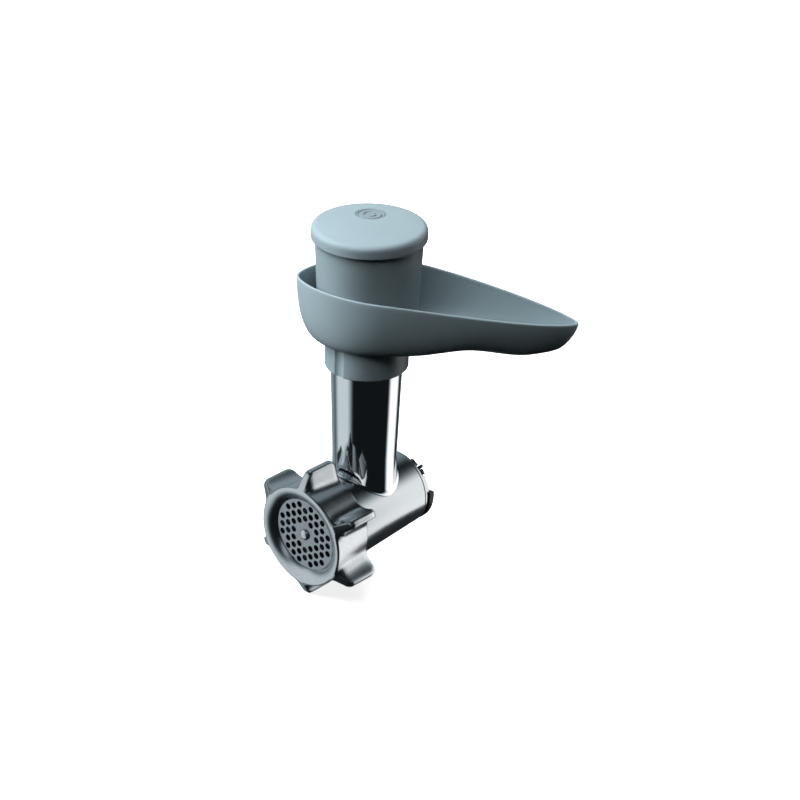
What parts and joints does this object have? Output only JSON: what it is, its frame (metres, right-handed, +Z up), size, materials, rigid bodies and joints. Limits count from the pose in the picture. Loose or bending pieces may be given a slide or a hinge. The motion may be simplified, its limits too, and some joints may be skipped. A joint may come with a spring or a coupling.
{
  "type": "meat grinder attachment",
  "caption": "Mixer-driven meat mincer: worm barrel with bayonet coupling, feed tube, teardrop tray, pusher with lid, knife, hole plate and lobed ring nut.",
  "frame": {"origin": "centre of the barrel's rear mounting face, on the worm's axis", "axes": "+Y along the worm's axis into the mixer's hub, so the outlet faces -Y; +Z up along the feed tube; +X to the right seen from the outlet"},
  "size_m": [0.1517, 0.1553, 0.262],
  "materials": {
    "barrel_metal": "satin, brushed along the turning direction",
    "polished_tube": "mirror polished",
    "nut_metal": "satin cast, polished edges",
    "worm_metal": "tumbled casting",
    "plate_steel": "ground",
    "knife_steel": "ground",
    "shaft_steel": "turned and polished",
    "screw_steel": "plain",
    "bush_bronze": "sintered bronze",
    "seal_rubber": "matt",
    "washer_plastic": "plain",
    "black_plastic": "fine grained",
    "tray_plastic": "satin, fine grained",
    "pusher_plastic": "satin, fine grained",
    "lid_plastic": "satin, fine grained"
  },
  "bodies": {
    "barrel": {"housing": "barrel_metal", "feed_tube": "polished_tube", "bayonet_ring": "black_plastic", "bayonet_screws": "screw_steel", "rear_bush": "bush_bronze", "shaft_seal": "seal_rubber", "plate_key_pin": "screw_steel", "thrust_washer": "washer_plastic"},
    "worm_set": {"worm": "worm_metal", "drive_shaft": "shaft_steel", "drive_dog": "black_plastic", "dog_screw": "screw_steel", "worm_spindle": "shaft_steel", "knife": "knife_steel"},
    "plate": {"hole_plate": "plate_steel"},
    "nut": {"ring_nut": "nut_metal"},
    "tray": {"hopper_tray": "tray_plastic"},
    "pusher": {"pusher_head": "pusher_plastic", "plunger": "pusher_plastic", "spare_plate_coarse": "plate_steel", "spare_plate_fine": "plate_steel"},
    "lid": {"pusher_lid": "lid_plastic", "lid_badge": "lid_plastic", "lid_seal": "seal_rubber"}
  },
  "joints": [
    {"name": "worm_spin", "type": "hinge", "parent": "barrel", "child": "worm_set", "pos_m": [0, 0, 0], "axis": [0, -1, 0], "continuous": true},
    {"name": "plate_slide", "type": "slide", "parent": "barrel", "child": "plate", "axis": [0, -1, 0], "range_m": [0, 0.0142]},
    {"name": "nut_turn", "type": "hinge", "parent": "plate", "child": "nut", "pos_m": [0, -0.081, 0], "axis": [0, -1, 0], "range_deg": [0, 1440]},
    {"name": "tray_lift", "type": "slide", "parent": "barrel", "child": "tray", "axis": [0, 0, 1], "range_m": [0, 0.06]},
    {"name": "pusher_slide", "type": "slide", "parent": "tray", "child": "pusher", "axis": [0, 0, 1], "range_m": [0, 0.085]},
    {"name": "lid_lift", "type": "slide", "parent": "pusher", "child": "lid", "axis": [0, 0, 1], "range_m": [0, 0.03]}
  ],
  "couplings": [
    {"joint": "plate_slide", "follows": "nut_turn", "m_per_rad": 0.00055704}
  ]
}
